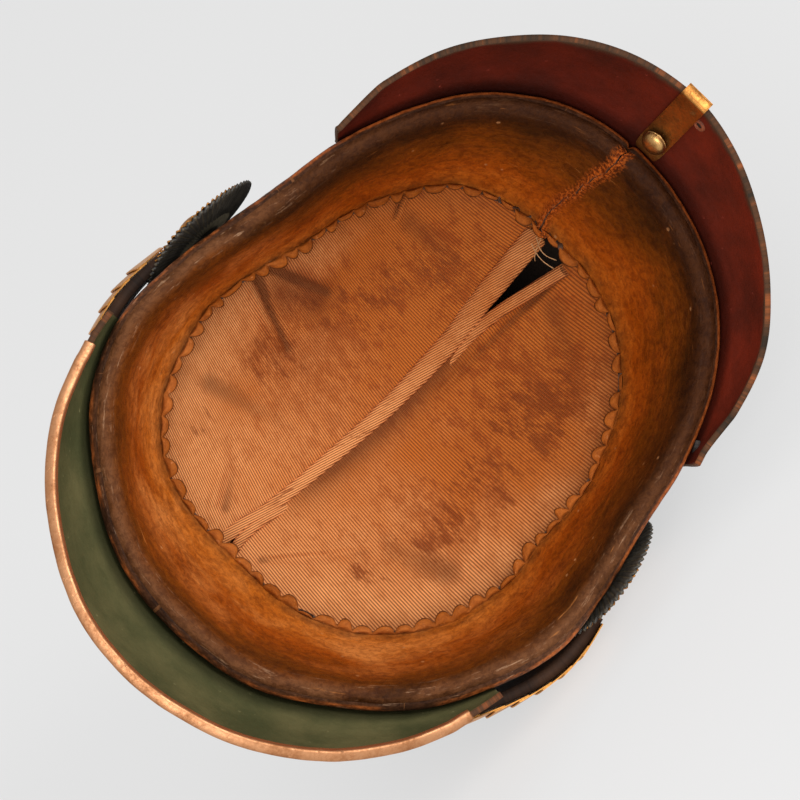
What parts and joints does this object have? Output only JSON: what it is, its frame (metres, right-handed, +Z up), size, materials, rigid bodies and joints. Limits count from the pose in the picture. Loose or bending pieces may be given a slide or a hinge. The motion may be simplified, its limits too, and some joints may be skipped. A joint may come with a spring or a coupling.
{
  "type": "spiked leather helmet",
  "caption": "Old leather spiked helmet lying on its side, open towards the viewer, with peaks, brass spine, spike, cockades, chin scales, sweatband and split cloth lining.",
  "frame": {"origin": "centre of the bounding box on the floor that the helmet lies on", "axes": "+Z up from the floor; -Y the way the opening faces; +X roughly the way the helmet's back points"},
  "size_m": [0.2558, 0.2574, 0.1884],
  "materials": {
    "shell_leather": "gloss lacquered black, scuffed",
    "band_leather": "worn warm brown, uneven",
    "welt_leather": "dark brown, rubbed, fine cracks",
    "lining_cloth": "ribbed cloth, stained",
    "front_underside": "matte olive green below",
    "rear_underside": "matte dark red-brown below",
    "coppery_brass": "worn satin",
    "cockade_lacquer": "worn dark lacquer",
    "strap_leather": "dark brown, worn",
    "brass": "aged satin"
  },
  "bodies": {
    "root": {"base_stud_1": "brass", "base_stud_2": "brass", "base_stud_3": "brass", "base_stud_4": "brass", "boss_left": "brass", "boss_right": "brass", "chin_clasp": "brass", "chin_scales_left": "brass", "chin_scales_right": "brass", "chin_strap": "strap_leather", "cockade_left": "cockade_lacquer", "cockade_right": "cockade_lacquer", "front_peak": "front_underside", "front_peak_trim": "coppery_brass", "lining_hem": "lining_cloth", "lining_left": "lining_cloth", "lining_right": "lining_cloth", "rear_peak": "rear_underside", "rear_spine": "brass", "rim_welt": "welt_leather", "shell": "shell_leather", "spike": "brass", "spike_base": "brass", "spine_rivet": "brass", "sweatband": "band_leather"}
  },
  "joints": []
}
